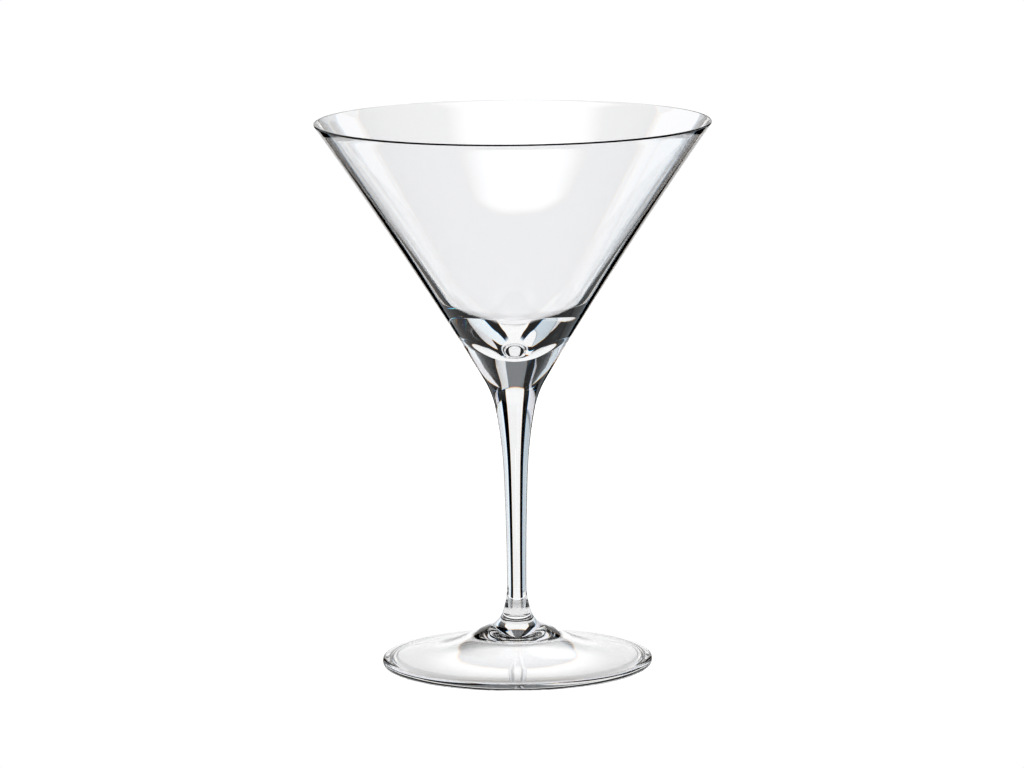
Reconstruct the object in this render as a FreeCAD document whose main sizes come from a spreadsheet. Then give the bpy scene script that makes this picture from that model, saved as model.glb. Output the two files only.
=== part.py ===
"""Martini glass: a bowl, a stem and a foot, fused to each other at two flat seams.

Sizes are in millimetres. The origin is the middle of the ring that the foot stands on, +Z is up,
and every piece is turned about the Z axis, so each one is a half-section revolved once round.
In a half-section, x is the radius and y is the height.
"""

import FreeCAD, Part
import math
import os

import Sketcher

# Driving sizes: the cell's alias, its value, and what it measures.
SIZES = (
    ("glass_height", 172.0, "top of the rim above the table"),
    ("rim_radius", 62.0, "widest radius, at the lip"),
    ("rim_wall", 0.7, "thickness of the lip, fully rounded"),
    ("wall_flare_radius", 1600.0, "large arc that opens the outer wall slightly towards the rim"),
    ("hollow_floor_height", 100.0, "lowest point of the drink's hollow"),
    ("hollow_nose_radius", 9.0, "ball radius of the hollow's rounded tip"),
    ("hollow_nose_reach", 5.3, "how far out the rounded tip goes"),
    ("hollow_flank_radius", 140.0, "gentle curve of the hollow's sloping floor"),
    ("hollow_flank_reach", 19.0, "how far out the sloping floor goes"),
    ("hollow_turn_radius", 28.0, "curve from the floor up into the straight inner wall"),
    ("collar_height", 101.0, "where the flared wall begins above the base"),
    ("collar_radius", 15.7, "radius there"),
    ("bowl_seam_height", 96.5, "seam between bowl and stem"),
    ("bowl_seam_radius", 13.05, "flat where bowl and stem are fused"),
    ("shoulder_radius", 0.05, "bead left by the fusing, round the top of the stem's head"),
    ("head_angle", 30.5, "half-angle of the stem's conical head, in degrees"),
    ("throat_radius", 28.0, "arc from the neck into the head"),
    ("neck_radius", 145.0, "arc from the shaft into the throat"),
    ("neck_height", 60.0, "where the shaft becomes the neck"),
    ("shaft_sweep_radius", 880.0, "very shallow arc of the drawn shaft"),
    ("waist_radius", 3.0, "thinnest radius of the stem"),
    ("flare_radius", 25.0, "arc from the waist down to the foot"),
    ("foot_seam_height", 16.5, "seam between stem and foot"),
    ("foot_seam_radius", 4.5, "flat where stem and foot are fused"),
    ("hub_radius", 7.0, "arc from the seam out into the dome"),
    ("dome_angle", 24.3, "slope of the foot's dome, in degrees"),
    ("brim_angle", 8.3, "slope of the foot's brim, in degrees"),
    ("brim_blend_radius", 42.0, "arc from the dome into the brim"),
    ("foot_radius", 42.6, "widest radius of the foot"),
    ("foot_edge_radius", 1.4, "rounding of the foot's edge"),
    ("foot_wall", 1.9, "thickness of dome and brim"),
    ("ring_width", 1.2, "width of the flat ring that the foot stands on"),
    ("lift_radius", 5.0, "arc from the standing ring up into the underside"),
    ("crown_height", 8.9, "polished flat in the middle of the underside"),
    ("crown_blend_radius", 18.0, "arc from the underside's slope into that flat"),
)

SIZE = {alias: value for alias, value, _ in SIZES}

START, END, CENTRE = 1, 2, 3
AXIS = -2
ORIGIN = (-1, START)


def make_sheet(doc):
    """Put the driving sizes in a spreadsheet, one aliased cell each."""
    sheet = doc.addObject("Spreadsheet::Sheet", "Sizes")
    for row, (alias, value, meaning) in enumerate(SIZES, start=1):
        sheet.set(f"A{row}", meaning)
        sheet.set(f"B{row}", str(value))
        sheet.setAlias(f"B{row}", alias)
    doc.recompute()
    return sheet


def polar(centre, radius, angle):
    """The point of a circle at an angle in degrees."""
    turn = math.radians(angle)
    return centre[0] + radius * math.cos(turn), centre[1] + radius * math.sin(turn)


class HalfSection:
    """A closed outline on a body's XZ plane, drawn edge by edge and held by constraints.

    The edges are drawn near their places from the sizes, and the constraints, bound to the
    spreadsheet, put them exactly right.
    """

    def __init__(self, body):
        plane = next(p for p in body.Origin.OriginFeatures if p.Role == "XZ_Plane")
        self.sketch = body.newObject("Sketcher::SketchObject", f"{body.Name}_half_section")
        self.sketch.AttachmentSupport = [(plane, "")]
        self.sketch.MapMode = "FlatFace"

    def line(self, start, end):
        """Draw a straight edge and return its number."""
        ends = [FreeCAD.Vector(x, y, 0) for x, y in (start, end)]
        return self.sketch.addGeometry(Part.LineSegment(*ends), False)

    def arc(self, centre, radius, first, last):
        """Draw an arc anticlockwise between two angles in degrees and return its number."""
        circle = Part.Circle(FreeCAD.Vector(*centre, 0), FreeCAD.Vector(0, 0, 1), radius)
        span = Part.ArcOfCircle(circle, math.radians(first), math.radians(last))
        return self.sketch.addGeometry(span, False)

    def hold(self, kind, *where):
        """Add a constraint that has no size."""
        return self.sketch.addConstraint(Sketcher.Constraint(kind, *where))

    def corner(self, edge, at, other, other_at):
        """Join two edges with a corner."""
        self.hold("Coincident", edge, at, other, other_at)

    def smooth(self, edge, at, other, other_at):
        """Join two edges so that one runs on into the other."""
        self.hold("Tangent", edge, at, other, other_at)

    def size(self, kind, where, start_value, formula):
        """Add a constraint with a size and bind that size to a formula of the sheet's cells."""
        number = self.hold(kind, *where, start_value)
        name = f"size_{number}"
        self.sketch.renameConstraint(number, name)
        self.sketch.setExpression(f"Constraints.{name}", formula)

    def radius(self, edge, alias):
        """Bind an arc's radius to one cell."""
        self.size("Radius", (edge,), SIZE[alias], f"Sizes.{alias}")

    def height(self, edge, at, value, formula):
        """Bind a point's height above the table."""
        self.size("DistanceY", (*ORIGIN, edge, at), value, formula)

    def reach(self, edge, at, value, formula):
        """Bind a point's distance from the axis."""
        self.size("DistanceX", (*ORIGIN, edge, at), value, formula)

    def flat_disc(self, edge, axis_at, rim_at, height_alias, radius_alias):
        """Hold a level edge from the axis out to a radius."""
        self.hold("PointOnObject", edge, axis_at, AXIS)
        self.hold("Horizontal", edge)
        self.height(edge, axis_at, SIZE[height_alias], f"Sizes.{height_alias}")
        self.reach(edge, rim_at, SIZE[radius_alias], f"Sizes.{radius_alias}")


def turn(body, outline):
    """Revolve a half-section once round the Z axis."""
    solid = body.newObject("PartDesign::Revolution", f"{body.Name}_turned")
    solid.Profile = outline.sketch
    solid.ReferenceAxis = (outline.sketch, ["V_Axis"])
    solid.Angle = 360
    body.Tip = solid


def new_body(doc, label):
    """An empty body with a label of its own, placed at the origin."""
    body = doc.addObject("PartDesign::Body", label)
    body.Label = label
    body.Placement = FreeCAD.Placement()
    return body


def make_bowl(doc):
    """The conical bowl: a blown wall that thickens into a heavy base above the seam."""
    body = new_body(doc, "bowl")
    outline = HalfSection(body)
    seam_height, seam_radius = SIZE["bowl_seam_height"], SIZE["bowl_seam_radius"]
    lip = SIZE["rim_wall"] / 2
    lip_centre = (SIZE["rim_radius"] - lip, SIZE["glass_height"] - lip)
    flare, ball = SIZE["wall_flare_radius"], SIZE["hollow_nose_radius"]
    slope, bend = SIZE["hollow_flank_radius"], SIZE["hollow_turn_radius"]
    collar = (SIZE["collar_radius"], SIZE["collar_height"])
    floor_height = SIZE["hollow_floor_height"]
    ball_centre = (0.0, floor_height + ball)
    tip_angle = math.degrees(math.asin(SIZE["hollow_nose_reach"] / ball))
    slope_centre = polar(ball_centre, slope - ball, 90 + tip_angle)
    slope_angle = math.degrees(math.asin((SIZE["hollow_flank_reach"] - slope_centre[0]) / slope))
    bend_centre = polar(slope_centre, slope - bend, slope_angle - 90)
    outer_angle, inner_angle = 34.5, 34.5  # close to where the tangents bring the two walls
    wall_top = polar(lip_centre, lip, -outer_angle)
    flare_centre = polar(wall_top, flare, -outer_angle)
    inner_top = polar(lip_centre, lip, 180 - inner_angle)
    inner_foot = polar(bend_centre, bend, -inner_angle)

    base = outline.line((0, seam_height), (seam_radius, seam_height))
    heel = outline.line((seam_radius, seam_height), collar)
    wall = outline.arc(flare_centre, flare, 180 - outer_angle, 183 - outer_angle)
    rim = outline.arc(lip_centre, lip, -outer_angle, 180 - inner_angle)
    inner = outline.line(inner_top, inner_foot)
    curl = outline.arc(bend_centre, bend, slope_angle - 90, -inner_angle)
    flank = outline.arc(slope_centre, slope, tip_angle - 90, slope_angle - 90)
    floor = outline.arc(ball_centre, ball, -90, tip_angle - 90)
    axis = outline.line((0, floor_height), (0, seam_height))

    outline.flat_disc(base, START, END, "bowl_seam_height", "bowl_seam_radius")
    outline.size("Radius", (rim,), lip, "Sizes.rim_wall / 2")
    outline.reach(rim, CENTRE, lip_centre[0], "Sizes.rim_radius - Sizes.rim_wall / 2")
    outline.height(rim, CENTRE, lip_centre[1], "Sizes.glass_height - Sizes.rim_wall / 2")
    outline.radius(wall, "wall_flare_radius")
    outline.radius(curl, "hollow_turn_radius")
    outline.radius(flank, "hollow_flank_radius")
    outline.reach(flank, END, SIZE["hollow_flank_reach"], "Sizes.hollow_flank_reach")
    outline.radius(floor, "hollow_nose_radius")
    outline.reach(floor, END, SIZE["hollow_nose_reach"], "Sizes.hollow_nose_reach")
    outline.reach(heel, END, collar[0], "Sizes.collar_radius")
    outline.height(heel, END, collar[1], "Sizes.collar_height")
    outline.hold("PointOnObject", floor, START, AXIS)
    outline.hold("PointOnObject", floor, CENTRE, AXIS)
    outline.height(floor, START, floor_height, "Sizes.hollow_floor_height")
    outline.smooth(wall, START, rim, START)
    outline.smooth(rim, END, inner, START)
    outline.smooth(inner, END, curl, END)
    outline.smooth(curl, START, flank, END)
    outline.smooth(flank, START, floor, END)
    outline.corner(base, END, heel, START)
    outline.corner(heel, END, wall, END)
    outline.corner(floor, START, axis, START)
    outline.corner(axis, END, base, START)
    turn(body, outline)
    return body


def make_stem(doc):
    """The drawn stem: a flare, a slim waist, a long neck and a conical head under the bowl."""
    body = new_body(doc, "stem")
    outline = HalfSection(body)
    low, high = SIZE["foot_seam_height"], SIZE["bowl_seam_height"]
    foot_reach, head_reach = SIZE["foot_seam_radius"], SIZE["bowl_seam_radius"]
    waist, flare, sweep = SIZE["waist_radius"], SIZE["flare_radius"], SIZE["shaft_sweep_radius"]
    bead, throat, neck = SIZE["shoulder_radius"], SIZE["throat_radius"], SIZE["neck_radius"]
    flare_turn = math.degrees(math.acos((waist + flare - foot_reach) / flare))
    waist_height = low + flare * math.sin(math.radians(flare_turn))
    sweep_turn = math.degrees(math.asin((SIZE["neck_height"] - waist_height) / sweep))
    neck_turn = 10.5  # close to where the tangents bring the neck into the throat
    flare_centre = (waist + flare, waist_height)
    sweep_centre = (waist + sweep, waist_height)
    neck_start = polar(sweep_centre, sweep, 180 - sweep_turn)
    neck_centre = polar(neck_start, neck, -sweep_turn)
    neck_end = polar(neck_centre, neck, 180 - neck_turn)
    throat_centre = polar(neck_end, throat, -neck_turn)
    head_start = polar(throat_centre, throat, 180 - SIZE["head_angle"])
    bead_centre = (head_reach, high - bead)
    head_end = polar(bead_centre, bead, -SIZE["head_angle"])

    bottom = outline.line((0, low), (foot_reach, low))
    lower = outline.arc(flare_centre, flare, 180, 180 + flare_turn)
    shaft = outline.arc(sweep_centre, sweep, 180 - sweep_turn, 180)
    upper = outline.arc(neck_centre, neck, 180 - neck_turn, 180 - sweep_turn)
    bend = outline.arc(throat_centre, throat, 180 - SIZE["head_angle"], 180 - neck_turn)
    head = outline.line(head_start, head_end)
    shoulder = outline.arc(bead_centre, bead, -SIZE["head_angle"], 90)
    top = outline.line((head_reach, high), (0, high))
    axis = outline.line((0, high), (0, low))

    outline.flat_disc(bottom, START, END, "foot_seam_height", "foot_seam_radius")
    outline.corner(bottom, END, lower, END)
    outline.smooth(lower, START, shaft, END)
    outline.hold("Horizontal", lower, CENTRE, lower, START)
    outline.smooth(shaft, START, upper, END)
    outline.smooth(upper, START, bend, END)
    outline.smooth(bend, START, head, START)
    outline.smooth(head, END, shoulder, START)
    outline.smooth(shoulder, END, top, START)
    outline.corner(top, END, axis, START)
    outline.corner(axis, END, bottom, START)
    outline.flat_disc(top, END, START, "bowl_seam_height", "bowl_seam_radius")
    outline.radius(lower, "flare_radius")
    outline.radius(shaft, "shaft_sweep_radius")
    outline.radius(upper, "neck_radius")
    outline.radius(bend, "throat_radius")
    outline.radius(shoulder, "shoulder_radius")
    outline.reach(lower, START, waist, "Sizes.waist_radius")
    outline.height(shaft, START, SIZE["neck_height"], "Sizes.neck_height")
    steepness = math.radians(90 - SIZE["head_angle"])
    outline.size("Angle", (head,), steepness, "(90 - Sizes.head_angle) * 1 deg")
    turn(body, outline)
    return body


def make_foot(doc):
    """The pressed foot: a hub, a dome and a brim of even thickness over a hollow underside."""
    body = new_body(doc, "foot")
    outline = HalfSection(body)
    seam_height, seam_radius = SIZE["foot_seam_height"], SIZE["foot_seam_radius"]
    hub, blend, wall = SIZE["hub_radius"], SIZE["brim_blend_radius"], SIZE["foot_wall"]
    dome_slope, brim_slope = SIZE["dome_angle"], SIZE["brim_angle"]
    edge, crown, lift = SIZE["foot_edge_radius"], SIZE["crown_blend_radius"], SIZE["lift_radius"]
    stem_run = (SIZE["waist_radius"] + SIZE["flare_radius"] - seam_radius) / SIZE["flare_radius"]
    hub_turn = math.degrees(math.acos(stem_run))
    hub_centre = polar((seam_radius, seam_height), hub, hub_turn)
    hub_end = polar(hub_centre, hub, 270 - dome_slope)
    edge_centre = (SIZE["foot_radius"] - edge, edge)
    brim_end = polar(edge_centre, edge, 90 - brim_slope)
    brim_start = (30.0, brim_end[1] + (brim_end[0] - 30.0) * math.tan(math.radians(brim_slope)))
    blend_centre = polar(brim_start, blend, 90 - brim_slope)
    dome_end = polar(blend_centre, blend, 270 - dome_slope)
    ring_inner = edge_centre[0] - SIZE["ring_width"]
    lift_centre = (ring_inner - 0.7 * lift, -0.7 * lift)
    under_brim_end = polar(lift_centre, lift, 90 - brim_slope)
    under_brim_start = polar(blend_centre, blend + wall, 270 - brim_slope)
    under_dome_start = polar(blend_centre, blend + wall, 270 - dome_slope)
    crown_centre = (7.6, SIZE["crown_height"] - crown)
    under_dome_end = polar(crown_centre, crown, 90 - dome_slope)

    top = outline.line((0, seam_height), (seam_radius, seam_height))
    flare = outline.arc(hub_centre, hub, 180 + hub_turn, 270 - dome_slope)
    dome = outline.line(hub_end, dome_end)
    blend_arc = outline.arc(blend_centre, blend, 270 - dome_slope, 270 - brim_slope)
    brim = outline.line(brim_start, brim_end)
    rounding = outline.arc(edge_centre, edge, -90, 90 - brim_slope)
    ring = outline.line((edge_centre[0], 0), (ring_inner, 0))
    rise = outline.arc(lift_centre, lift, 45, 90 - brim_slope)
    under_brim = outline.line(under_brim_end, under_brim_start)
    under_blend = outline.arc(blend_centre, blend + wall, 270 - dome_slope, 270 - brim_slope)
    under_dome = outline.line(under_dome_start, under_dome_end)
    crown_arc = outline.arc(crown_centre, crown, 90 - dome_slope, 90)
    crown_flat = outline.line((crown_centre[0], SIZE["crown_height"]), (0, SIZE["crown_height"]))
    axis = outline.line((0, SIZE["crown_height"]), (0, seam_height))

    outline.flat_disc(top, START, END, "foot_seam_height", "foot_seam_radius")
    outline.corner(top, END, flare, START)
    outline.smooth(flare, END, dome, START)
    outline.smooth(dome, END, blend_arc, START)
    outline.smooth(blend_arc, END, brim, START)
    outline.smooth(brim, END, rounding, END)
    outline.smooth(rounding, START, ring, START)
    outline.corner(ring, END, rise, START)
    outline.smooth(rise, END, under_brim, START)
    outline.smooth(under_brim, END, under_blend, END)
    outline.smooth(under_blend, START, under_dome, START)
    outline.smooth(under_dome, END, crown_arc, START)
    outline.smooth(crown_arc, END, crown_flat, START)
    outline.corner(crown_flat, END, axis, START)
    outline.corner(axis, END, top, START)

    outline.radius(flare, "hub_radius")
    run = "(Sizes.waist_radius + Sizes.flare_radius - Sizes.foot_seam_radius) / Sizes.flare_radius"
    outline.reach(flare, CENTRE, hub_centre[0], f"Sizes.foot_seam_radius + Sizes.hub_radius * {run}")
    outline.size("Angle", (dome,), math.radians(-dome_slope), "-Sizes.dome_angle * 1 deg")
    outline.radius(blend_arc, "brim_blend_radius")
    outline.size("Angle", (brim,), math.radians(-brim_slope), "-Sizes.brim_angle * 1 deg")
    outline.radius(rounding, "foot_edge_radius")
    outline.reach(rounding, CENTRE, edge_centre[0], "Sizes.foot_radius - Sizes.foot_edge_radius")
    outline.height(rounding, CENTRE, edge, "Sizes.foot_edge_radius")
    outline.hold("Horizontal", ring)
    outline.size("DistanceX", (ring, END, ring, START), SIZE["ring_width"], "Sizes.ring_width")
    outline.radius(rise, "lift_radius")
    outline.hold("Parallel", under_brim, brim)
    outline.size("Distance", (under_brim, END, brim), wall, "Sizes.foot_wall")
    outline.size("Radius", (under_blend,), blend + wall, "Sizes.brim_blend_radius + Sizes.foot_wall")
    outline.hold("Parallel", under_dome, dome)
    outline.size("Distance", (under_dome, START, dome), wall, "Sizes.foot_wall")
    outline.radius(crown_arc, "crown_blend_radius")
    outline.hold("Horizontal", crown_flat)
    outline.hold("PointOnObject", crown_flat, END, AXIS)
    outline.height(crown_flat, END, SIZE["crown_height"], "Sizes.crown_height")
    turn(body, outline)
    return body


def check(doc, bodies):
    """Stop if any object failed, any outline is loose or any piece isn't one valid solid."""
    for item in doc.Objects:
        if {"Invalid", "Error"} & set(item.State):
            raise RuntimeError(f"{item.Name} failed: {item.State}")
        if item.TypeId == "Sketcher::SketchObject" and not item.FullyConstrained:
            raise RuntimeError(f"{item.Name} isn't fully constrained")
    for body in bodies:
        shape = body.Shape
        if shape.isNull() or not shape.isValid() or len(shape.Solids) != 1:
            raise RuntimeError(f"{body.Label} isn't one valid solid")
        box = shape.optimalBoundingBox(False)
        print(
            f"{body.Label}: {shape.Volume / 1000:.2f} cm3, radius {box.XMax:.2f},"
            f" from {box.ZMin:.2f} to {box.ZMax:.2f}"
        )


def main():
    """Build the glass and write one STEP file for each piece."""
    doc = FreeCAD.newDocument("MartiniGlass")
    make_sheet(doc)
    bodies = [make_foot(doc), make_stem(doc), make_bowl(doc)]
    doc.recompute()
    check(doc, bodies)
    os.makedirs("parts", exist_ok=True)
    for body in bodies:
        body.Shape.exportStep(f"parts/{body.Label}.step")


main()
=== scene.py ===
"""Martini glass: a turned bowl, a drawn stem and a dished foot, fused into one glass.

Each part of the glass is turned from its own half-section, takes the place of its solid in the
frame, and is dressed in clear crystal. A light table with tall soft panels around it lights the
glass from behind, as glassware is usually lit.
"""

import logging
from dataclasses import dataclass, field
from enum import Enum
from math import acos, asin, atan2, ceil, cos, degrees, pi, radians, sin, sqrt, tan
from typing import Any, Sequence, Union

import bpy
from mathutils import Matrix, Vector


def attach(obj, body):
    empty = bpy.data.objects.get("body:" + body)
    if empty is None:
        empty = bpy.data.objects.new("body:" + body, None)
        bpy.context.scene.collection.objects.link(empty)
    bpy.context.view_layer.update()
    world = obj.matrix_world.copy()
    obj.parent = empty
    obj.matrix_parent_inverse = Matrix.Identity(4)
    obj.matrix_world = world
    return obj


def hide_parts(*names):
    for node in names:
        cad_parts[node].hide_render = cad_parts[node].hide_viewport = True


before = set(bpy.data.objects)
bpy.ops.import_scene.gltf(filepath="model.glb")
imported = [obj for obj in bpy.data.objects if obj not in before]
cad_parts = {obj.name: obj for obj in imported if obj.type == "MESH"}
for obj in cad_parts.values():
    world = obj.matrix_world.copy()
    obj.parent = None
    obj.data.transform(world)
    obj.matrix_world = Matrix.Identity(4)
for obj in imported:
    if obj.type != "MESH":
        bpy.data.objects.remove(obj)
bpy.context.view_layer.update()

logging.basicConfig(level=logging.INFO, format="%(name)s: %(message)s")
log = logging.getLogger("martini_glass")

MM = 0.001
FULL_TURN = 2.0 * pi
ROOT = "root"
WELD = 0.0000015
CREASE_ANGLE = 28.0


# ------------------------------------------------------------------------ shader bench


class Channel(Enum):
    """The three colours of light, which glass bends by slightly different amounts."""

    RED = -1
    GREEN = 0
    BLUE = 1


class Wire:
    """A node's output socket that takes part in shader maths."""

    def __init__(self, bench: "Bench", socket: bpy.types.NodeSocket) -> None:
        """Keep the socket and the bench that new maths nodes go on.

        Args:
            bench: The node tree's bench.
            socket: The output socket to carry.
        """
        self.bench = bench
        self.socket = socket

    def maths(self, operation: str, *others: Union["Wire", float], clamp: bool = False) -> "Wire":
        """Add one Math node.

        Args:
            operation: The Math node's operation.
            others: The values or wires of its inputs.
            clamp: Whether the result stays between 0 and 1.

        Returns:
            The node's result.
        """
        values = dict(enumerate(others))
        return self.bench.node("ShaderNodeMath", {"operation": operation, "use_clamp": clamp}, values)

    def __add__(self, other: Union["Wire", float]) -> "Wire":
        """Sum of two values."""
        return self.maths("ADD", self, other)

    def __radd__(self, other: float) -> "Wire":
        """Sum with the number first."""
        return self.maths("ADD", other, self)

    def __sub__(self, other: Union["Wire", float]) -> "Wire":
        """Difference of two values."""
        return self.maths("SUBTRACT", self, other)

    def __rsub__(self, other: float) -> "Wire":
        """Difference with the number first."""
        return self.maths("SUBTRACT", other, self)

    def __mul__(self, other: Union["Wire", float]) -> "Wire":
        """Product of two values."""
        return self.maths("MULTIPLY", self, other)

    def __rmul__(self, other: float) -> "Wire":
        """Product with the number first."""
        return self.maths("MULTIPLY", other, self)

    def __truediv__(self, other: Union["Wire", float]) -> "Wire":
        """Quotient of two values."""
        return self.maths("DIVIDE", self, other)

    def __abs__(self) -> "Wire":
        """Size of a value without its sign."""
        return self.maths("ABSOLUTE", self)

    def clamped(self) -> "Wire":
        """The value held between 0 and 1."""
        return self.maths("ADD", self, 0.0, clamp=True)

    def smooth(self) -> "Wire":
        """The value eased from 0 to 1."""
        return self.bench.node(
            "ShaderNodeMapRange", {"interpolation_type": "SMOOTHSTEP"}, {"Value": self}
        )


class Bench:
    """Builds the nodes of one material's or world's tree."""

    def __init__(self, tree: bpy.types.NodeTree) -> None:
        """Clear the tree and keep it.

        Args:
            tree: The node tree to build in.
        """
        self.tree = tree
        tree.nodes.clear()

    def node(self, kind: str, settings: dict[str, Any], inputs: dict[Any, Any], out: Any = 0) -> Wire:
        """Add one node, set it up and wire it.

        Args:
            kind: The node's type.
            settings: Its properties, set before its sockets.
            inputs: The values or wires of its input sockets, by name or number.
            out: Name or number of the output to hand back.

        Returns:
            The chosen output.
        """
        made = self.tree.nodes.new(kind)
        for name, value in settings.items():
            setattr(made, name, value)
        for name, value in inputs.items():
            if isinstance(value, Wire):
                self.tree.links.new(value.socket, made.inputs[name])
            else:
                made.inputs[name].default_value = value
        return Wire(self, made.outputs[out]) if len(made.outputs) else Wire(self, None)

    def vector(self, operation: str, *values: Any) -> Wire:
        """Add one Vector Math node and hand back its result."""
        return self.node("ShaderNodeVectorMath", {"operation": operation}, dict(enumerate(values)))

    def measure(self, place: Wire) -> Wire:
        """Distance of a place from the middle of its object, in metres."""
        return self.node("ShaderNodeVectorMath", {"operation": "LENGTH"}, {0: place}, "Value")


# ------------------------------------------------------------------------ finishes


class Grain(Enum):
    """Which way the faint waves of a glass surface run."""

    SPUN = "round the axis and out along the wall"
    DRAWN = "up and down the stem"
    PRESSED = "in rings round the axis"


@dataclass(frozen=True)
class Crystal:
    """Clear crystal glass with the faint waves that its making left."""

    name: str
    grain: Grain
    tint: tuple[float, float, float, float] = (0.965, 0.967, 0.972, 1.0)
    index: float = 1.52
    polish: float = 0.0
    wave_depth: float = 0.00002
    wave_scale: float = 14.0

    def waves(self, bench: Bench) -> Wire:
        """Height of the surface waves, as a pattern from 0 to 1.

        Args:
            bench: The material's bench.

        Returns:
            The height of the waves.
        """
        place = bench.node("ShaderNodeTexCoord", {}, {}, "Object")
        if self.grain is Grain.DRAWN:
            stretch = (1.0, 1.0, 0.03)
        elif self.grain is Grain.PRESSED:
            stretch = (1.0, 1.0, 1.0)
        else:
            stretch = (1.0, 1.0, 0.25)
        spread = bench.vector("MULTIPLY", place, stretch)
        return bench.node(
            "ShaderNodeTexNoise",
            {"noise_dimensions": "3D"},
            {"Vector": spread, "Scale": self.wave_scale, "Detail": 1.0, "Roughness": 0.4},
        )

    def make(self) -> bpy.types.Material:
        """Build the material.

        Returns:
            The finished material.
        """
        material = bpy.data.materials.new(self.name)
        material.use_nodes = True
        bench = Bench(material.node_tree)
        bumps = bench.node(
            "ShaderNodeBump",
            {},
            {"Strength": 1.0, "Distance": self.wave_depth, "Height": self.waves(bench)},
        )
        glass = bench.node(
            "ShaderNodeBsdfPrincipled",
            {},
            {
                "Base Color": self.tint,
                "Roughness": self.polish,
                "IOR": self.index,
                "Transmission Weight": 1.0,
                "Normal": bumps,
            },
        )
        bench.node("ShaderNodeOutputMaterial", {}, {"Surface": glass})
        return material


@dataclass(frozen=True)
class FusedSeam:
    """The hidden joint where two parts are melted together, which light crosses unbent."""

    name: str = "fused_seam"

    def make(self) -> bpy.types.Material:
        """Build the material.

        Returns:
            The finished material.
        """
        material = bpy.data.materials.new(self.name)
        material.use_nodes = True
        bench = Bench(material.node_tree)
        through = bench.node("ShaderNodeBsdfTransparent", {}, {"Color": (1.0, 1.0, 1.0, 1.0)})
        bench.node("ShaderNodeOutputMaterial", {}, {"Surface": through})
        return material


@dataclass(frozen=True)
class LightTable:
    """Milky white table top that glows a little from beneath, with a painted shadow of the glass: its
    glow is dimmed under the foot and raised beyond it.
    """

    name: str = "light_table"
    shade: tuple[float, float, float, float] = (0.20, 0.20, 0.202, 1.0)
    polish: float = 0.35
    middle_glow: float = 0.95
    # Painted shadow of the glass: how far the glow drops under the foot's brim, and how far it rises
    # again past the brim.
    painted_shadow_depth: float = 0.36
    lift_past_painted_shadow: float = 0.44

    def make(self) -> bpy.types.Material:
        """Build the material.

        Returns:
            The finished material.
        """
        material = bpy.data.materials.new(self.name)
        material.use_nodes = True
        bench = Bench(material.node_tree)
        place = bench.node("ShaderNodeTexCoord", {}, {}, "Object")
        out = bench.measure(place)
        # Painted shadow of the glass on the table: the glow is dimmed from 16 to 34 mm out, under the
        # foot, and raised again from 37.5 mm out, so the table is darker under the glass than beyond it.
        painted_shadow = ((out - 0.016) / 0.018).smooth() * self.painted_shadow_depth
        lit_past_painted_shadow = ((out - 0.0375) / 0.005).smooth() * self.lift_past_painted_shadow
        glow = self.middle_glow - painted_shadow + lit_past_painted_shadow
        top = bench.node(
            "ShaderNodeBsdfPrincipled",
            {},
            {
                "Base Color": self.shade,
                "Roughness": self.polish,
                "Emission Color": bench.node("ShaderNodeCombineColor", {}, {0: glow, 1: glow, 2: glow}),
                "Emission Strength": 1.0,
            },
        )
        bench.node("ShaderNodeOutputMaterial", {}, {"Surface": top})
        return material


# ------------------------------------------------------------------------ outline geometry


def heading(angle: float) -> Vector:
    """Unit vector in the plane of a half-section, at an angle in degrees from outwards."""
    return Vector((cos(radians(angle)), sin(radians(angle))))


def bearing(way: Vector) -> float:
    """Angle in degrees of a vector in the plane of a half-section."""
    return degrees(atan2(way.y, way.x))


def circle_meeting(one: Vector, one_reach: float, two: Vector, two_reach: float) -> tuple[Vector, Vector]:
    """Where two circles cross.

    Args:
        one: Centre of the first circle.
        one_reach: Its radius.
        two: Centre of the second circle.
        two_reach: Its radius.

    Returns:
        The crossing to the left and then to the right of the way from one to two.
    """
    gap = two - one
    along = (gap.length_squared + one_reach**2 - two_reach**2) / (2.0 * gap.length)
    aside = sqrt(one_reach**2 - along**2)
    way = gap.normalized()
    left = Vector((-way.y, way.x))
    return one + way * along + left * aside, one + way * along - left * aside


def lines_meeting(first: Vector, first_level: float, second: Vector, second_level: float) -> Vector:
    """The point at given distances along two unit normals.

    Args:
        first: The first normal.
        first_level: Distance along it.
        second: The second normal.
        second_level: Distance along it.

    Returns:
        The point.
    """
    scale = first.x * second.y - first.y * second.x
    return Vector(
        (
            (first_level * second.y - second_level * first.y) / scale,
            (first.x * second_level - second.x * first_level) / scale,
        )
    )


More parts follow.
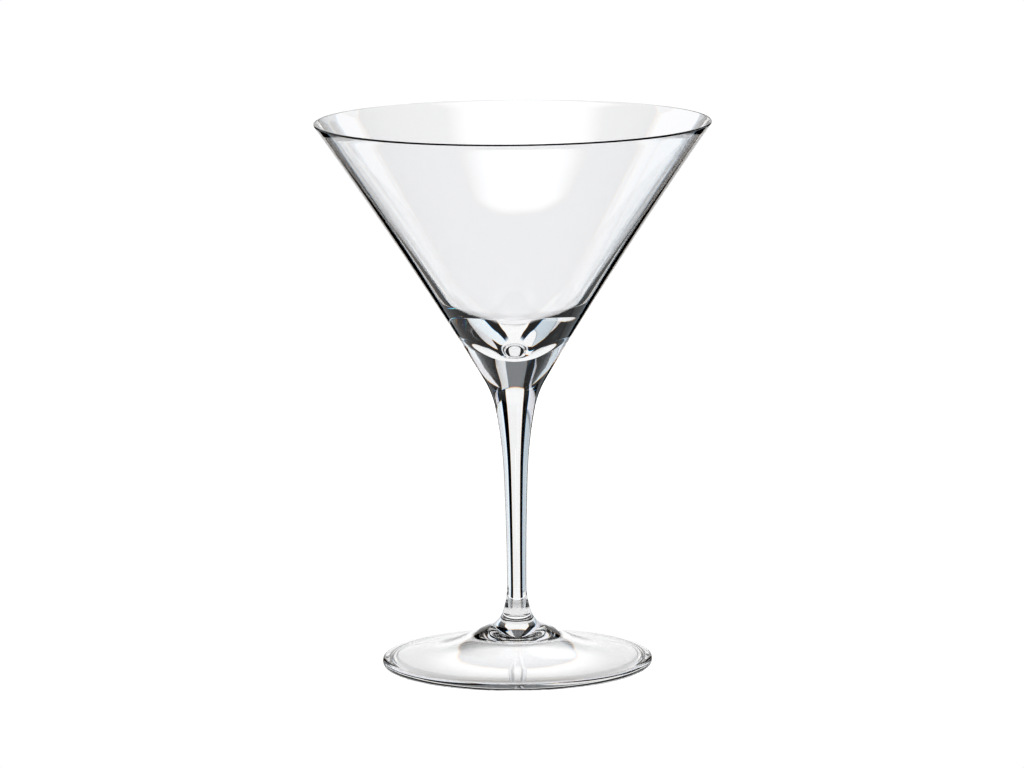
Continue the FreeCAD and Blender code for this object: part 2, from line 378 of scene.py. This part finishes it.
class HalfSection:
    """A half-section drawn in edit mode, corner by corner, and then turned about the axis."""

    def __init__(self, name: str, start: Vector, pitch: float, bend: float) -> None:
        """Put down the first point.

        Args:
            name: Name of the piece.
            start: First point, out from the axis and up, in millimetres.
            pitch: Longest step along a straight or a gentle curve, in millimetres.
            bend: Largest turn of a step round an arc, in degrees.
        """
        self.pitch = pitch
        self.bend = bend
        self.at = start.copy()
        bpy.ops.object.select_all(action="DESELECT")
        bpy.ops.mesh.primitive_plane_add(size=MM, location=(0.0, 0.0, 0.0))
        self.piece = bpy.context.object
        self.piece.name = name
        self.piece.data.name = name
        bpy.ops.object.mode_set(mode="EDIT")
        bpy.ops.mesh.select_mode(type="VERT")
        bpy.ops.mesh.select_all(action="SELECT")
        bpy.ops.mesh.merge(type="CENTER")
        bpy.ops.transform.translate(value=(start.x * MM, 0.0, start.y * MM))

    def line(self, end: Vector) -> None:
        """Extrude the outline straight to a point.

        Args:
            end: The point, in millimetres.
        """
        run = end - self.at
        steps = max(1, ceil(run.length / self.pitch))
        step = (run.x * MM / steps, 0.0, run.y * MM / steps)
        for _ in range(steps):
            bpy.ops.mesh.extrude_region_move(TRANSFORM_OT_translate={"value": step})
        self.at = end.copy()

    def arc(self, centre: Vector, end_angle: float) -> None:
        """Spin the outline round a centre.

        Args:
            centre: The arc's centre, in millimetres.
            end_angle: Angle from the centre at which the arc ends, in degrees.
        """
        arm = self.at - centre
        sweep = (end_angle - bearing(arm) + 180.0) % 360.0 - 180.0
        by_bend = abs(sweep) / self.bend
        by_pitch = radians(abs(sweep)) * arm.length / self.pitch
        bpy.ops.mesh.spin(
            steps=max(2, ceil(by_bend), ceil(by_pitch)),
            angle=radians(sweep),
            center=(centre.x * MM, 0.0, centre.y * MM),
            axis=(0.0, 1.0, 0.0),
        )
        self.at = centre + heading(end_angle) * arm.length

    def turned(self, facets: int) -> bpy.types.Object:
        """Turn the half-section into a closed piece.

        Args:
            facets: Number of steps round the axis.

        Returns:
            The piece, with its faces outwards.
        """
        bpy.ops.mesh.select_all(action="SELECT")
        bpy.ops.mesh.spin(steps=facets, angle=FULL_TURN, center=(0.0, 0.0, 0.0), axis=(0.0, 0.0, 1.0))
        bpy.ops.mesh.select_all(action="SELECT")
        bpy.ops.mesh.remove_doubles(threshold=WELD)
        bpy.ops.mesh.normals_make_consistent(inside=False)
        bpy.ops.object.mode_set(mode="OBJECT")
        bpy.ops.object.shade_smooth_by_angle(angle=radians(CREASE_ANGLE))
        return self.piece


# ------------------------------------------------------------------------ parts of the glass


class Part:
    """What the bowl, the stem and the foot have in common."""

    name = "part"
    node = "part"

    def build(self) -> bpy.types.Object:
        """Build the part's mesh; each part has its own."""
        raise NotImplementedError

    def dress(self, piece: bpy.types.Object, crystal: Crystal, seams: Sequence[float]) -> None:
        """Give the part its glass, and the fused seam where it joins its neighbour.

        Args:
            piece: The part.
            crystal: Its finish.
            seams: Heights of its fused faces, in millimetres.
        """
        piece.data.materials.append(crystal.make())
        piece.data.materials.append(FusedSeam(f"{self.name}_fused_seam").make())
        corners = piece.data.vertices
        for face in piece.data.polygons:
            for seam in seams:
                if all(abs(corners[i].co.z - seam * MM) < WELD for i in face.vertices):
                    face.material_index = 1

    def place(self, piece: bpy.types.Object) -> None:
        """Stand the part in for its solid in the frame, and report it.

        Args:
            piece: The part.
        """
        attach(piece, ROOT)
        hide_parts(self.node)
        log.info("%s: %d faces, z %.1f to %.1f mm", piece.name, len(piece.data.polygons),
                 *(1000.0 * bound for bound in (piece.bound_box[0][2], piece.bound_box[1][2])))


@dataclass
class Bowl(Part):
    """Wide V-shaped bowl with a thick base and a fine rounded lip."""

    name: str = "bowl_crystal"
    node: str = "bowl"
    height: float = 172.0
    rim_radius: float = 62.0
    lip: float = 0.35
    wall_curve: float = 1600.0
    seam_height: float = 96.5
    seam_radius: float = 13.05
    collar_height: float = 101.0
    collar_radius: float = 15.7
    floor_height: float = 100.0
    nose_curve: float = 9.0
    nose_reach: float = 5.3
    slope_curve: float = 140.0
    slope_reach: float = 19.0
    turn_curve: float = 28.0
    facets: int = 256
    finish: Crystal = field(default_factory=lambda: Crystal("bowl_crystal", Grain.SPUN))

    def build(self) -> bpy.types.Object:
        """Turn the bowl.

        Returns:
            The bowl's piece.
        """
        collar = Vector((self.collar_radius, self.collar_height))
        lip = Vector((self.rim_radius - self.lip, self.height - self.lip))
        wall = circle_meeting(collar, self.wall_curve, lip, self.wall_curve + self.lip)[1]
        nose = Vector((0.0, self.floor_height + self.nose_curve))
        tip = degrees(asin(self.nose_reach / self.nose_curve)) - 90.0
        slope = nose - heading(tip) * (self.slope_curve - self.nose_curve)
        rise = degrees(asin((self.slope_reach - slope.x) / self.slope_curve)) - 90.0
        turn = slope + heading(rise) * (self.slope_curve - self.turn_curve)
        gap = lip - turn
        lean = bearing(gap) - degrees(acos((self.lip + self.turn_curve) / gap.length))
        section = HalfSection(self.name, Vector((0.0, self.seam_height)), 2.5, 3.0)
        section.line(Vector((self.seam_radius, self.seam_height)))
        section.line(collar)
        section.arc(wall, bearing(lip - wall))
        section.bend = 12.0
        section.arc(lip, 90.0)
        section.arc(lip, lean + 180.0)
        section.bend = 2.5
        section.line(turn + heading(lean) * self.turn_curve)
        section.arc(turn, rise)
        section.arc(slope, tip)
        section.arc(nose, -90.0)
        section.line(Vector((0.0, self.seam_height)))
        return section.turned(self.facets)


@dataclass
class Stem(Part):
    """Solid stem drawn out to a thin waist, with a cone-shaped head under the bowl."""

    name: str = "stem_crystal"
    node: str = "stem"
    waist_radius: float = 3.0
    shaft_curve: float = 880.0
    neck_curve: float = 145.0
    neck_height: float = 60.0
    throat_curve: float = 28.0
    head_angle: float = 30.5
    head_radius: float = 13.05
    head_height: float = 96.5
    foot_radius: float = 4.5
    foot_height: float = 16.5
    flare_curve: float = 25.0
    facets: int = 192
    finish: Crystal = field(default_factory=lambda: Crystal("stem_crystal", Grain.DRAWN))

    def waist_height(self) -> float:
        """Height of the thinnest place, in millimetres."""
        reach = self.waist_radius + self.flare_curve - self.foot_radius
        return self.foot_height + sqrt(self.flare_curve**2 - reach**2)

    def build(self) -> bpy.types.Object:
        """Turn the stem.

        Returns:
            The stem's piece.
        """
        waist = self.waist_height()
        flare = Vector((self.waist_radius + self.flare_curve, waist))
        shaft = Vector((self.waist_radius + self.shaft_curve, waist))
        draw = 180.0 - degrees(asin((self.neck_height - waist) / self.shaft_curve))
        neck = shaft + heading(draw) * (self.shaft_curve - self.neck_curve)
        head = Vector((self.head_radius, self.head_height))
        side = heading(-self.head_angle)
        up = Vector((-side.y, side.x))
        base = head + side * self.throat_curve - neck
        slide = -base.dot(up) - sqrt(
            base.dot(up) ** 2 - base.length_squared + (self.neck_curve - self.throat_curve) ** 2
        )
        throat = neck + base + up * slide
        section = HalfSection(self.name, Vector((0.0, self.foot_height)), 2.0, 2.0)
        section.line(Vector((self.foot_radius, self.foot_height)))
        section.arc(flare, 180.0)
        section.arc(shaft, draw)
        section.arc(neck, bearing(throat - neck))
        section.arc(throat, 180.0 - self.head_angle)
        section.line(head)
        section.line(Vector((0.0, self.head_height)))
        section.line(Vector((0.0, self.foot_height)))
        return section.turned(self.facets)


@dataclass
class Foot(Part):
    """Round dished foot: a small hub, a dome that flattens to the brim, and a hollow beneath."""

    name: str = "foot_crystal"
    node: str = "foot"
    seam_radius: float = 4.5
    seam_height: float = 16.5
    flare_centre: Vector = field(default_factory=lambda: Vector((28.0, 25.0293)))
    hub_curve: float = 7.0
    dome_angle: float = 24.3
    brim_angle: float = 8.3
    brim_curve: float = 42.0
    radius: float = 42.6
    edge: float = 1.4
    wall: float = 1.9
    ring: float = 1.2
    lift_curve: float = 5.0
    crown_height: float = 8.9
    crown_curve: float = 18.0
    facets: int = 256
    finish: Crystal = field(default_factory=lambda: Crystal("foot_crystal", Grain.PRESSED))

    def build(self) -> bpy.types.Object:
        """Turn the foot.

        Returns:
            The foot's piece.
        """
        seam = Vector((self.seam_radius, self.seam_height))
        hub = seam + (self.flare_centre - seam).normalized() * self.hub_curve
        dome = heading(90.0 - self.dome_angle)
        brim = heading(90.0 - self.brim_angle)
        dome_level = (hub - dome * self.hub_curve).dot(dome)
        rim = Vector((self.radius - self.edge, self.edge))
        brim_level = rim.dot(brim) + self.edge
        sweep = lines_meeting(dome, dome_level + self.brim_curve, brim, brim_level + self.brim_curve)
        heel = Vector((self.radius - self.edge - self.ring, 0.0))
        rise = (brim_level - self.wall - self.lift_curve - heel.dot(brim)) / self.lift_curve
        lift = heel + heading(bearing(brim) + degrees(acos(rise))) * self.lift_curve
        crown_up = self.crown_height - self.crown_curve
        crown_out = (dome_level - self.wall - self.crown_curve - crown_up * dome.y) / dome.x
        crown = Vector((crown_out, crown_up))
        under = self.brim_curve + self.wall
        section = HalfSection(self.name, Vector((0.0, self.seam_height)), 2.0, 2.5)
        section.line(seam)
        section.arc(hub, bearing(-dome))
        section.line(sweep - dome * self.brim_curve)
        section.arc(sweep, bearing(-brim))
        section.line(rim + brim * self.edge)
        section.bend = 8.0
        section.arc(rim, -5.0)
        section.arc(rim, -90.0)
        section.line(heel)
        section.bend = 2.5
        section.arc(lift, bearing(brim))
        section.line(sweep - brim * under)
        section.arc(sweep, bearing(-dome))
        section.line(crown + dome * self.crown_curve)
        section.arc(crown, 90.0)
        section.line(Vector((0.0, self.crown_height)))
        section.line(Vector((0.0, self.seam_height)))
        return section.turned(self.facets)


# ------------------------------------------------------------------------ studio


@dataclass(frozen=True)
class Panel:
    """A soft light panel that stands or hangs round the table; angles are in degrees."""

    left: float
    right: float
    low: float
    high: float
    glow: tuple[float, float, float]
    feather: float = 1.2
    end_feather: float = 3.0


@dataclass
class Studio:
    """Light table, tall panels round it, and the camera."""

    table_radius: float = 0.050
    table_thickness: float = 0.003
    dark: float = 0.001
    dispersion: float = 0.011
    axis_drop: float = 9.2
    apron_top: float = -36.0
    apron_glow: float = 1.02
    camera_place: Vector = field(default_factory=lambda: Vector((0.0, -1.7445, 0.3723)))
    camera_drop: float = 9.217
    camera_turn: float = 0.0305
    camera_roll: float = 0.53
    lens: float = 198.3
    panels: tuple[Panel, ...] = (
        Panel(-15.5, 16.5, -90.0, 30.5, (1.03, 1.03, 1.03)),
        Panel(-1.4, 1.7, -10.6, -3.0, (1.22, 1.22, 1.22), 2.6, 1.8),
        Panel(-14.0, 10.0, 30.5, 62.0, (0.28, 0.29, 0.30)),
        Panel(10.0, 25.0, 30.5, 62.0, (0.92, 0.92, 0.92)),
        Panel(-63.0, -27.0, -90.0, -18.0, (1.03, 1.03, 1.03)),
        Panel(-66.0, -27.0, -18.0, 4.0, (0.72, 0.79, 0.84)),
        Panel(-63.0, -27.0, 4.0, 62.0, (0.94, 0.94, 0.98)),
        Panel(28.5, 52.0, -90.0, 14.0, (0.95, 1.00, 1.03)),
        Panel(38.0, 56.0, 14.0, 62.0, (0.88, 0.88, 0.92)),
        Panel(50.0, 75.0, -14.0, 10.0, (0.90, 0.90, 0.92)),
        Panel(-99.0, -81.0, -90.0, 5.0, (1.03, 1.03, 1.03)),
        Panel(126.0, 144.0, -90.0, -7.0, (1.03, 1.03, 1.03)),
        Panel(102.0, 117.0, -40.0, -8.0, (0.75, 0.77, 0.80)),
        Panel(153.0, 168.0, -40.0, -8.0, (0.75, 0.77, 0.80)),
        Panel(-190.0, 190.0, 68.0, 90.0, (0.40, 0.40, 0.42)),
    )

    def table(self) -> bpy.types.Object:
        """Build the round light table that the glass stands on.

        Returns:
            The table.
        """
        bpy.ops.object.select_all(action="DESELECT")
        bpy.ops.mesh.primitive_cylinder_add(
            vertices=160,
            radius=self.table_radius,
            depth=self.table_thickness,
            location=(0.0, 0.0, 0.0),
        )
        top = bpy.context.object
        top.name = "light_table"
        bpy.ops.object.mode_set(mode="EDIT")
        bpy.ops.mesh.select_all(action="SELECT")
        bpy.ops.transform.translate(value=(0.0, 0.0, -self.table_thickness / 2.0))
        bpy.ops.object.mode_set(mode="OBJECT")
        top.data.materials.append(LightTable().make())
        return top

    def sky(self, bench: Bench, channel: Channel) -> Wire:
        """Light from every side in one colour.

        Args:
            bench: The world's bench.
            channel: The colour, which sees the room very slightly spread or drawn in.

        Returns:
            The brightness seen in each direction.
        """
        spread = 1.0 + self.dispersion * channel.value
        way = bench.node("ShaderNodeTexCoord", {}, {}, "Generated")
        split = bench.tree.nodes.new("ShaderNodeSeparateXYZ")
        bench.tree.links.new(way.socket, split.inputs[0])
        x, y, z = (Wire(bench, socket) for socket in split.outputs)
        turn = x.maths("ARCTAN2", x, y) * (180.0 / pi) * spread
        lift = (z.maths("ARCSINE", z) * (180.0 / pi) + self.axis_drop) * spread - self.axis_drop
        apron = ((self.apron_top - lift) * (1.0 / 8.0)).smooth() * (self.apron_glow - self.dark)
        sky = apron + self.dark
        for panel in self.panels:
            across = self.between(turn, panel.left, panel.right, panel.feather)
            upright = self.between(lift, panel.low, panel.high, panel.end_feather)
            glow = panel.glow[channel.value + 1] - self.dark
            sky = sky.maths("MAXIMUM", sky, across * upright * glow)
        return sky

    def between(self, angle: Wire, low: float, high: float, feather: float) -> Wire:
        """Soft-edged mask of a range of angles.

        Args:
            angle: The angle to test, in degrees.
            low: Where the range starts.
            high: Where it ends.
            feather: Width of its soft edges.

        Returns:
            1 inside the range and 0 outside.
        """
        off = abs(angle - (low + high) / 2.0)
        reach = (high - low) / 2.0 + feather / 2.0
        return ((reach - off) * (1.0 / feather)).smooth()

    def light(self) -> None:
        """Light the room from its panels."""
        world = bpy.data.worlds.new("studio")
        world.use_nodes = True
        bpy.context.scene.world = world
        bench = Bench(world.node_tree)
        red, green, blue = (self.sky(bench, channel) for channel in Channel)
        glow = bench.node("ShaderNodeCombineColor", {}, {0: red, 1: green, 2: blue})
        room = bench.node("ShaderNodeBackground", {}, {"Color": glow, "Strength": 1.0})
        bench.node("ShaderNodeOutputWorld", {}, {"Surface": room})

    def camera(self) -> bpy.types.Object:
        """Set up the camera, level with the rim and looking a little down.

        Returns:
            The camera.
        """
        data = bpy.data.cameras.new("camera")
        data.lens = self.lens
        data.sensor_width = 36.0
        data.clip_start = 0.05
        data.clip_end = 50.0
        camera = bpy.data.objects.new("camera", data)
        bpy.context.collection.objects.link(camera)
        aim = Matrix.Rotation(radians(self.camera_turn), 4, "Z")
        tip = Matrix.Rotation(radians(90.0 - self.camera_drop), 4, "X")
        roll = Matrix.Rotation(radians(-self.camera_roll), 4, "Z")
        camera.matrix_world = Matrix.Translation(self.camera_place) @ aim @ tip @ roll
        bpy.context.scene.camera = camera
        return camera

    def exposure(self) -> None:
        """Plain view of the light, with enough bounces for thick glass."""
        scene = bpy.context.scene
        scene.view_settings.view_transform = "Standard"
        scene.view_settings.look = "None"
        scene.view_settings.gamma = 0.72
        scene.cycles.max_bounces = 32
        scene.cycles.transmission_bounces = 32
        scene.cycles.transparent_max_bounces = 32
        scene.cycles.glossy_bounces = 8
        scene.cycles.caustics_refractive = False
        scene.cycles.caustics_reflective = False


def main() -> None:
    """Build the studio, then the glass from the foot up."""
    studio = Studio()
    studio.camera()
    studio.exposure()
    studio.light()
    log.info("table: %s", studio.table().name)
    for part, seams in ((Foot(), (16.5,)), (Stem(), (16.5, 96.5)), (Bowl(), (96.5,))):
        piece = part.build()
        part.dress(piece, part.finish, seams)
        part.place(piece)


if __name__ == "__main__":
    main()
